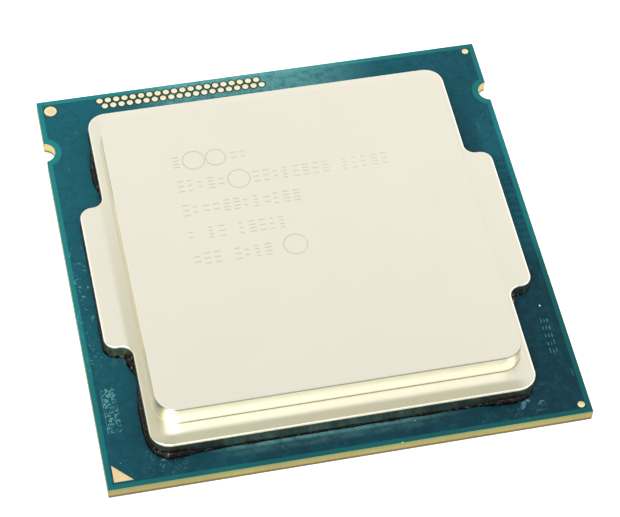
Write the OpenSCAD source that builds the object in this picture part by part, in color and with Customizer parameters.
// Desktop computer processor in a land-grid package: a square laminated substrate, a silicon die
// under a stepped, side-eared heat spreader, small capacitors on both faces and 1150 gold lands
// underneath. Millimetres. The origin is the centre of the package on its seating plane, which is
// the outer face of the bottom solder mask; +Z points up through the heat spreader, +X runs along
// the edge that carries the pin-one corner, and +Y points to the edge with the test pads.

/* [Substrate] */
// Side of the square substrate
package_w = 37.5; // [37:0.1:38]
// Thickness of the glass-cloth core
core_t = 0.81; // [0.6:0.01:1.0]
// Thickness of each build-up dielectric layer
buildup_t = 0.06; // [0.04:0.005:0.08]
// Thickness of the solder mask on each face
mask_t = 0.03; // [0.025:0.005:0.04]
// Thickness of every copper plane
foil_t = 0.018; // [0.012:0.001:0.02]
// Bare laminate left between the copper planes and the cut edge
plane_inset = 0.5; // [0.3:0.05:0.8]

/* [Key notches] */
// Radius of the two socket key notches
notch_r = 0.95; // [0.9:0.01:1.0]
// Distance of each notch's axis from the centre line
notch_x = 18.9; // [18.8:0.05:19]
// Distance of the notches from the other centre line
notch_y = 13.45; // [13:0.05:14]
// Bare laminate ring between a notch and the copper planes
notch_margin = 0.51; // [0.4:0.01:0.6]

/* [Lands] */
// Lands along one side of the full grid
land_count = 40; // [40]
// Distance between neighbouring lands
land_pitch = 0.9144; // [0.9144]
// Size of one land along X
land_w = 0.60; // [0.5:0.01:0.65]
// Size of one land along Y
land_l = 0.74; // [0.6:0.01:0.78]
// Columns left out in the middle of the grid
void_columns = 24; // [24]
// Rows left out in the middle of the grid
void_rows = 16; // [16]
// Rows left out beside each short side of the middle
side_gap_rows = 10; // [10]
// Diagonals left out at each corner
corner_gap = 4; // [4]
// How far a gold pad lies below the mask's surface
pad_recess = 0.008; // [0.005:0.001:0.01]

/* [Marks and test pads] */
// Diameter of one test pad
test_pad_d = 0.52; // [0.45:0.01:0.55]
// Distance between neighbouring test pads in a row
test_pad_pitch = 0.70; // [0.66:0.01:0.75]
// Test pads in each of the two rows
test_pad_count = 20; // [18:1:20]
// Place of the first pad of the outer row
test_pad_start = [-13.55, 18.05];
// Shift of the inner row against the outer one
test_pad_shift = [0.36, -0.59];
// Large fiducial: x, y and diameter
large_fiducial = [-17.72, 17.67, 1.05];
// Small fiducials: x, y and diameter of each
small_fiducials = [[17.93, 18.0, 0.56], [18.0, -17.97, 0.56]];
// Corner of the pin-one triangle
pin_one_at = [-18.2, -18.17];
// Leg of the pin-one triangle
pin_one_leg = 1.48; // [1.2:0.01:1.6]

/* [Die] */
// Length of the silicon die along X
die_l = 22.0; // [20:0.1:23]
// Width of the silicon die along Y
die_w = 8.0; // [7:0.1:9]
// Thickness of the silicon die
die_t = 0.775; // [0.7:0.005:0.8]
// Height of the solder bumps above the mask
bump_h = 0.07; // [0.06:0.005:0.08]
// Diameter of a solder bump
bump_d = 0.14; // [0.1:0.01:0.2]
// Spacing of the solder bumps
bump_pitch = 1.0; // [0.9:0.05:1.2]
// Width of the underfill seen round the die
underfill_w = 0.5; // [0.3:0.05:0.8]
// Thickness of the thermal interface between the die and the heat spreader
tim_t = 0.105; // [0.08:0.005:0.15]

/* [Heat spreader] */
// Shift of the heat spreader and the die from the package's centre, along X and Y
lid_at = [-0.06, -0.48];
// Side of the square raised plateau
plateau_w = 28.4; // [28:0.1:29]
// Width of the flange along X, without the ears
flange_w = 30.0; // [29.5:0.1:30.5]
// Length of the flange along Y
flange_l = 32.4; // [32:0.1:32.5]
// Width of the flange along X, over the ears
ear_w = 34.0; // [33:0.1:34.5]
// Length of the ears along Y
ear_l = 13.6; // [12:0.1:15]
// Thickness of the flange
flange_t = 1.254; // [1:0.01:1.5]
// Height of the plateau above the flange
plateau_h = 1.647; // [1.4:0.01:1.8]
// Corner radius of the plateau
plateau_r = 1.7; // [1:0.1:1.8]
// Corner radius of the flange
flange_r = 1.6; // [1:0.1:2]
// Corner radius of the ears
ear_r = 1.0; // [0.5:0.1:1.4]
// Inner radius where an ear meets the flange
ear_fillet_r = 0.85; // [0.5:0.05:1]
// Size of the hollow over the die, along X and Y
hollow = [24.4, 25.0];
// Corner radius of the hollow
hollow_r = 2.0; // [1:0.1:3]

/* [Sealant] */
// Thickness of the silicone between the heat spreader and the substrate
sealant_t = 0.10; // [0.08:0.01:0.15]
// How far the silicone stays back from the hollow
sealant_setback = 0.6; // [0.3:0.1:1]
// How far the squeezed-out bead stands proud of the flange
bead_w = 0.10; // [0.05:0.01:0.15]
// Width of the vent gap left in the silicone
vent_w = 3.0; // [2:0.5:5]
// Place of the vent gap along X
vent_x = 9.0; // [-10:1:10]

/* [Capacitors] */
// Die-side capacitor: length, width and height
die_side_cap = [1.0, 0.5, 0.5];
// Number of die-side capacitors
die_side_count = 12; // [8:1:13]
// Distance between die-side capacitors
die_side_pitch = 1.7; // [1.55:0.05:1.8]
// Distance of the die-side row from the centre line
die_side_y = 5.1; // [5:0.1:8]
// Large land-side capacitor: length, width and height
bulk_cap = [1.6, 0.8, 0.55];
// Columns and rows of large land-side capacitors
bulk_grid = [6, 4];
// Spacing of large land-side capacitors along X and Y
bulk_pitch = [2.5, 2.4];
// Small land-side capacitor: length, width and height
filter_cap = [1.0, 0.5, 0.5];
// Rows of small land-side capacitors at each side
filter_rows = 6; // [4:1:7]
// Spacing of small land-side capacitors
filter_pitch = 1.6; // [1.4:0.1:1.8]
// Distance of the small capacitor columns from the centre line
filter_x = 9.0; // [8.5:0.1:9.3]
// Width and length of the shallow mask field round the land-side capacitors
field_size = [21, 13];

/* [Plated through-holes] */
// Outer diameter of a plated barrel
barrel_d = 0.30; // [0.25:0.01:0.35]
// Wall of a plated barrel
barrel_wall = 0.03; // [0.02:0.005:0.04]
// Columns and rows of plated through-holes
barrel_grid = [12, 6];
// Spacing of plated through-holes
barrel_pitch = 1.8; // [1.2:0.1:2]

/* [Hidden] */

// Heights of the layer boundaries above the seating plane
z_outer_bottom = mask_t;
z_inner_bottom = z_outer_bottom + buildup_t;
z_core = z_inner_bottom + buildup_t;
z_inner_top = z_core + core_t;
z_outer_top = z_inner_top + buildup_t;
z_mask_top = z_outer_top + buildup_t;
z_top = z_mask_top + mask_t;
z_lid = z_top + sealant_t;
z_flange = z_lid + flange_t;
z_plateau = z_flange + plateau_h;
z_die = z_top + bump_h;
z_tim = z_die + die_t;
z_hollow = z_tim + tim_t;

// Cutting tools reach this far past the faces that they cut
over = 0.5;
// Gold pads fill the mask openings up to the recess
pad_t = mask_t - pad_recess;
// Room left in the surface copper round a solder bump
bump_gap = 0.12;
// Width of the copper collar that holds a pad lying on the pour's edge
collar_w = 0.06;
// A capacitor's terminal: length along the body, and plating thickness
terminal_share = 0.24;
terminal_skin = 0.02;
// A solder fillet's reach past the terminal, and its height as a share of the body's
fillet_reach = 0.16;
fillet_share = 0.6;
// A capacitor pad's reach past the terminal, and its margin at each side
pad_reach = 0.22;
pad_margin = 0.05;
// Squeezed-out silicone: x, y and radius of each bulge, measured from the lid's centre
bulges = [[-12.9, -14.75, 1.65], [12.3, -14.75, 1.65], [-13.95, 13.2, 1.6], [-13.95, -13.0, 1.6]];

// Places of the lands
land_first = -(land_count - 1) / 2 * land_pitch;
void_i = (land_count - void_columns) / 2;
void_j = (land_count - void_rows) / 2;
side_j = (land_count - side_gap_rows) / 2;

// Steps from the nearer side of the grid
function steps(i) = min(i, land_count - 1 - i);
function land_at(i) = land_first + i * land_pitch;
function in_void(i, j) = steps(i) >= void_i && steps(j) >= void_j;
function in_side_gap(i, j) = steps(i) == void_i - 1 && steps(j) >= side_j;
function in_corner(i, j) = steps(i) + steps(j) < corner_gap;
function at_notch(i, j) = steps(i) == 0 && abs(land_at(j) - notch_y) < 1.5 * land_pitch;
function has_land(i, j) =
    j >= 0 && j < land_count
    && !in_void(i, j) && !in_side_gap(i, j) && !in_corner(i, j) && !at_notch(i, j);
// Lands in an unbroken run up the column, from this one on
function run_length(i, j) = has_land(i, j) ? 1 + run_length(i, j + 1) : 0;
land_places = [
    for (j = [0 : land_count - 1], i = [0 : land_count - 1])
        if (has_land(i, j)) [land_at(i), land_at(j)]
];

test_pad_places = [
    for (row = [0, 1], i = [0 : test_pad_count - 1])
        test_pad_start + row * test_pad_shift + [i * test_pad_pitch, 0]
];

// Places on a centred grid of counts n and spacings p
function grid(n, p) = [
    for (i = [0 : n[0] - 1], j = [0 : n[1] - 1])
        [(i - (n[0] - 1) / 2) * p[0], (j - (n[1] - 1) / 2) * p[1]]
];
bump_places = [
    for (q = grid([floor(die_l / bump_pitch), floor(die_w / bump_pitch)], [1, 1] * bump_pitch))
        q + lid_at
];
barrel_places = [for (q = grid(barrel_grid, [1, 1] * barrel_pitch)) q + lid_at];
die_side_places = [
    for (q = grid([die_side_count, 1], [1, 1] * die_side_pitch)) q + [0, die_side_y]
];
bulk_places = grid(bulk_grid, bulk_pitch);
filter_places = [
    for (side = [-1, 1], q = grid([1, filter_rows], [1, 1] * filter_pitch))
        q + [side * filter_x, 0]
];

// Outline of the board: a square with the two key notches
module board_outline() {
    difference() {
        square(package_w, center = true);
        for (side = [-1, 1])
            translate([side * notch_x, notch_y]) circle(r = notch_r, $fn = 64);
    }
}

// Outline of a copper plane: set back from the edge and from the notches
module plane_outline() {
    difference() {
        square(package_w - 2 * plane_inset, center = true);
        for (side = [-1, 1])
            translate([side * notch_x, notch_y]) circle(r = notch_r + notch_margin, $fn = 64);
    }
}

// A full layer of the board
module board_layer(z, t) {
    translate([0, 0, z]) linear_extrude(t) board_outline();
}

// A copper plane
module copper_plane(z) {
    translate([0, 0, z]) linear_extrude(foil_t) plane_outline();
}

// Rectangle with round corners, made of true arcs
module round_rect(w, l, r) {
    square([w - 2 * r, l], center = true);
    square([w, l - 2 * r], center = true);
    for (sx = [-1, 1], sy = [-1, 1])
        translate([sx * (w / 2 - r), sy * (l / 2 - r)]) circle(r = r, $fn = 64);
}

// Outline of the heat spreader's flange with its two ears and their inner fillets
module flange_outline() {
    round_rect(flange_w, flange_l, flange_r);
    round_rect(ear_w, ear_l, ear_r);
    for (sx = [-1, 1], sy = [-1, 1])
        translate([sx * flange_w / 2, sy * ear_l / 2])
            mirror([sx < 0 ? 1 : 0, 0]) mirror([0, sy < 0 ? 1 : 0])
                difference() {
                    square(ear_fillet_r);
                    translate([ear_fillet_r, ear_fillet_r]) circle(r = ear_fillet_r, $fn = 64);
                }
}

// Plated-hole places in the core
module barrel_circles(r) {
    for (q = barrel_places) translate(q) circle(r = r, $fn = 24);
}

// Rectangles of the two mounting pads of each capacitor
module cap_pad_shapes(places, size) {
    w = size[1] + 2 * pad_margin;
    l = terminal_share * size[0] + pad_reach;
    for (q = places, side = [-1, 1])
        translate(q + [side * (size[0] / 2 + pad_reach - l / 2), 0]) square([l, w], center = true);
}

// Ceramic bodies of a group of capacitors, lying on z = 0
module cap_bodies(places, size) {
    for (q = places)
        translate([q[0], q[1], size[2] / 2])
            cube(size - terminal_skin * [2, 2, 2], center = true);
}

// End terminals: caps that wrap the ends of each body
module cap_terminals(places, size) {
    l = terminal_share * size[0];
    for (q = places, side = [-1, 1])
        translate([q[0], q[1], size[2] / 2])
            difference() {
                translate([side * (size[0] - l) / 2, 0, 0]) cube([l, size[1], size[2]], center = true);
                cube(size - terminal_skin * [2, 2, 2], center = true);
            }
}

// Solder fillets: a wedge with a hollowed slope at each end of each capacitor
module cap_solder(places, size) {
    h = fillet_share * size[2];
    for (q = places, side = [-1, 1])
        translate([q[0], q[1] + size[1] / 2, 0])
            mirror([side < 0 ? 1 : 0, 0, 0])
                translate([size[0] / 2, 0, 0])
                    rotate([90, 0, 0])
                        linear_extrude(size[1])
                            polygon([
                                [0, 0], [fillet_reach, 0], [0.38 * fillet_reach, 0.3 * h], [0, h]
                            ]);
}

// Puts a group of parts made for a top face on the underside of the board
module underside() {
    mirror([0, 0, 1]) translate([0, 0, -pad_recess]) children();
}

// Openings in the top mask and in the top surface copper, which stays clear of the bumps
module top_openings(bump_gap) {
    test_pad_shapes(0);
    fiducial_shapes(0);
    pin_one_shape();
    bump_circles(bump_d / 2 + bump_gap);
    cap_pad_shapes(die_side_places, die_side_cap);
}

// Test pads, made wider all round by a margin
module test_pad_shapes(margin) {
    for (q = test_pad_places) translate(q) circle(r = test_pad_d / 2 + margin, $fn = 32);
}

module bump_circles(r) {
    for (q = bump_places) translate(q) circle(r = r, $fn = 24);
}

// Fiducials, made wider all round by a margin
module fiducial_shapes(margin) {
    for (f = concat([large_fiducial], small_fiducials))
        translate([f[0], f[1]]) circle(r = f[2] / 2 + margin, $fn = 48);
}

module pin_one_shape() {
    translate(pin_one_at) polygon([[0, 0], [pin_one_leg, 0], [0, pin_one_leg]]);
}

// Rectangles of all the lands
module land_shapes() {
    for (q = land_places) translate(q) square([land_w, land_l], center = true);
}

// A slot in the bottom mask for each straight run of lands in a column
module land_slots() {
    for (i = [0 : land_count - 1], j = [0 : land_count - 1])
        if (has_land(i, j) && !has_land(i, j - 1))
            translate([land_at(i) - land_w / 2, land_at(j) - land_l / 2])
                square([land_w, land_l + (run_length(i, j) - 1) * land_pitch]);
}

// Shallow field in the bottom mask, below the seating plane, that the socket's opening clears
module capacitor_field() {
    translate([-field_size.x / 2, -field_size.y / 2, -pad_recess])
        cube([field_size.x, field_size.y, 2 * pad_recess]);
}

// Openings in the bottom mask
module bottom_openings() {
    land_slots();
    cap_pad_shapes(bulk_places, bulk_cap);
    cap_pad_shapes(filter_places, filter_cap);
}

// The glass-cloth core, drilled for the plated through-holes
module substrate_core() {
    color("#8f9a55")
        translate([0, 0, z_core])
            linear_extrude(core_t)
                difference() {
                    board_outline();
                    barrel_circles(barrel_d / 2);
                }
}

module through_hole_barrels() {
    color("#c77b43")
        translate([0, 0, z_core])
            linear_extrude(core_t)
                difference() {
                    barrel_circles(barrel_d / 2);
                    barrel_circles(barrel_d / 2 - barrel_wall);
                }
}

module through_hole_plugs() {
    color("#d8cfa8")
        translate([0, 0, z_core])
            linear_extrude(core_t) barrel_circles(barrel_d / 2 - barrel_wall);
}

// Copper planes on the faces of the core, bedded in the inner dielectric
module core_copper_bottom() {
    color("#c77b43") copper_plane(z_core - foil_t);
}

module core_copper_top() {
    color("#c77b43") copper_plane(z_inner_top);
}

module inner_dielectric_bottom() {
    color("#b9a96a")
        difference() {
            board_layer(z_inner_bottom, buildup_t);
            copper_plane(z_core - foil_t);
        }
}

module inner_dielectric_top() {
    color("#b9a96a")
        difference() {
            board_layer(z_inner_top, buildup_t);
            copper_plane(z_inner_top);
        }
}

// Copper planes between the two build-up layers, bedded in the outer dielectric
module signal_copper_bottom() {
    color("#c77b43") copper_plane(z_inner_bottom - foil_t);
}

module signal_copper_top() {
    color("#c77b43") copper_plane(z_outer_top);
}

module outer_dielectric_bottom() {
    color("#c4b373")
        difference() {
            board_layer(z_outer_bottom, buildup_t);
            copper_plane(z_inner_bottom - foil_t);
        }
}

module outer_dielectric_top() {
    color("#c4b373")
        difference() {
            board_layer(z_outer_top, buildup_t);
            copper_plane(z_outer_top);
        }
}

// Copper pour under the top solder mask, open round every pad
module surface_copper_top() {
    color("#c77b43")
        translate([0, 0, z_mask_top])
            linear_extrude(foil_t)
                difference() {
                    union() {
                        plane_outline();
                        test_pad_shapes(collar_w);
                        fiducial_shapes(collar_w);
                    }
                    top_openings(bump_gap);
                }
}

// Solder mask: a thin skin over the board and its pour, open at every pad
module solder_mask_bottom() {
    color("#1d6a6e")
        difference() {
            linear_extrude(mask_t)
                difference() {
                    board_outline();
                    bottom_openings();
                }
            capacitor_field();
        }
}

module solder_mask_top() {
    color("#1d5a66")
        difference() {
            translate([0, 0, z_mask_top])
                linear_extrude(mask_t)
                    difference() {
                        board_outline();
                        top_openings(0);
                    }
            surface_copper_top();
        }
}

// The gold lands that the socket's contacts press on
module land_contacts() {
    color("#d9b765")
        translate([0, 0, pad_recess])
            linear_extrude(pad_t) land_shapes();
}

module test_pads() {
    color("#e8d48a")
        translate([0, 0, z_mask_top])
            linear_extrude(pad_t) test_pad_shapes(0);
}

module corner_fiducials() {
    color("#e8cf8a") translate([0, 0, z_mask_top]) linear_extrude(pad_t) fiducial_shapes(0);
}

module pin_one_mark() {
    color("#e8cf8a") translate([0, 0, z_mask_top]) linear_extrude(pad_t) pin_one_shape();
}

module silicon_die() {
    color("#4c5560")
        translate([lid_at.x - die_l / 2, lid_at.y - die_w / 2, z_die]) cube([die_l, die_w, die_t]);
}

// Bumps reach down through the mask openings to the build-up
module solder_bumps() {
    color("#b9bcc0")
        translate([0, 0, z_mask_top])
            linear_extrude(mask_t + bump_h) bump_circles(bump_d / 2);
}

module underfill() {
    color("#2b2f36")
        translate([0, 0, z_top])
            linear_extrude(bump_h)
                difference() {
                    translate(lid_at)
                        round_rect(die_l + 2 * underfill_w, die_w + 2 * underfill_w, underfill_w);
                    bump_circles(bump_d / 2);
                }
}

module thermal_interface() {
    color("#9aa0a6")
        translate([lid_at.x - die_l / 2, lid_at.y - die_w / 2, z_tim]) cube([die_l, die_w, tim_t]);
}

module heat_spreader() {
    color("#e6e0d0")
        translate([lid_at.x, lid_at.y, 0])
            difference() {
                union() {
                    translate([0, 0, z_lid]) linear_extrude(flange_t) flange_outline();
                    translate([0, 0, z_flange])
                        linear_extrude(plateau_h) round_rect(plateau_w, plateau_w, plateau_r);
                }
                translate([0, 0, z_lid - over])
                    linear_extrude(z_hollow - z_lid + over)
                        round_rect(hollow[0], hollow[1], hollow_r);
            }
}

// A silicone ring under the flange, proud of its edge and open at the vent
module lid_sealant() {
    color("#23262a")
        translate([lid_at.x, lid_at.y, z_top])
            linear_extrude(sealant_t)
                difference() {
                    union() {
                        round_rect(flange_w + 2 * bead_w, flange_l + 2 * bead_w, flange_r + bead_w);
                        for (b = bulges) translate([b[0], b[1]]) circle(r = b[2], $fn = 64);
                    }
                    round_rect(
                        hollow[0] + 2 * sealant_setback, hollow[1] + 2 * sealant_setback,
                        hollow_r + sealant_setback
                    );
                    translate([vent_x, flange_l / 2]) square([vent_w, flange_l / 3], center = true);
                }
}

// Capacitors beside the die, inside the hollow of the heat spreader
module die_side_capacitors() {
    color("#a98a63") translate([0, 0, z_top]) cap_bodies(die_side_places, die_side_cap);
}

module die_side_terminals() {
    color("#c9ccd0") translate([0, 0, z_top]) cap_terminals(die_side_places, die_side_cap);
}

module die_side_solder() {
    color("#b9bcc0") translate([0, 0, z_top]) cap_solder(die_side_places, die_side_cap);
}

module die_side_pads() {
    color("#e8d48a")
        translate([0, 0, z_mask_top])
            linear_extrude(mask_t) cap_pad_shapes(die_side_places, die_side_cap);
}

// Capacitors under the package, in the middle of the land grid
module bulk_capacitors() {
    color("#a98a63") underside() cap_bodies(bulk_places, bulk_cap);
}

module bulk_terminals() {
    color("#c9ccd0") underside() cap_terminals(bulk_places, bulk_cap);
}

module bulk_solder() {
    color("#b9bcc0") underside() cap_solder(bulk_places, bulk_cap);
}

module bulk_pads() {
    color("#e8d48a")
        translate([0, 0, pad_recess])
            linear_extrude(pad_t) cap_pad_shapes(bulk_places, bulk_cap);
}

module filter_capacitors() {
    color("#a98a63") underside() cap_bodies(filter_places, filter_cap);
}

module filter_terminals() {
    color("#c9ccd0") underside() cap_terminals(filter_places, filter_cap);
}

module filter_solder() {
    color("#b9bcc0") underside() cap_solder(filter_places, filter_cap);
}

module filter_pads() {
    color("#e8d48a")
        translate([0, 0, pad_recess])
            linear_extrude(pad_t) cap_pad_shapes(filter_places, filter_cap);
}

substrate_core();
through_hole_barrels();
through_hole_plugs();
core_copper_bottom();
core_copper_top();
inner_dielectric_bottom();
inner_dielectric_top();
signal_copper_bottom();
signal_copper_top();
outer_dielectric_bottom();
outer_dielectric_top();
surface_copper_top();
solder_mask_bottom();
solder_mask_top();
land_contacts();
test_pads();
corner_fiducials();
pin_one_mark();
silicon_die();
solder_bumps();
underfill();
thermal_interface();
heat_spreader();
lid_sealant();
die_side_capacitors();
die_side_terminals();
die_side_solder();
die_side_pads();
bulk_capacitors();
bulk_terminals();
bulk_solder();
bulk_pads();
filter_capacitors();
filter_terminals();
filter_solder();
filter_pads();
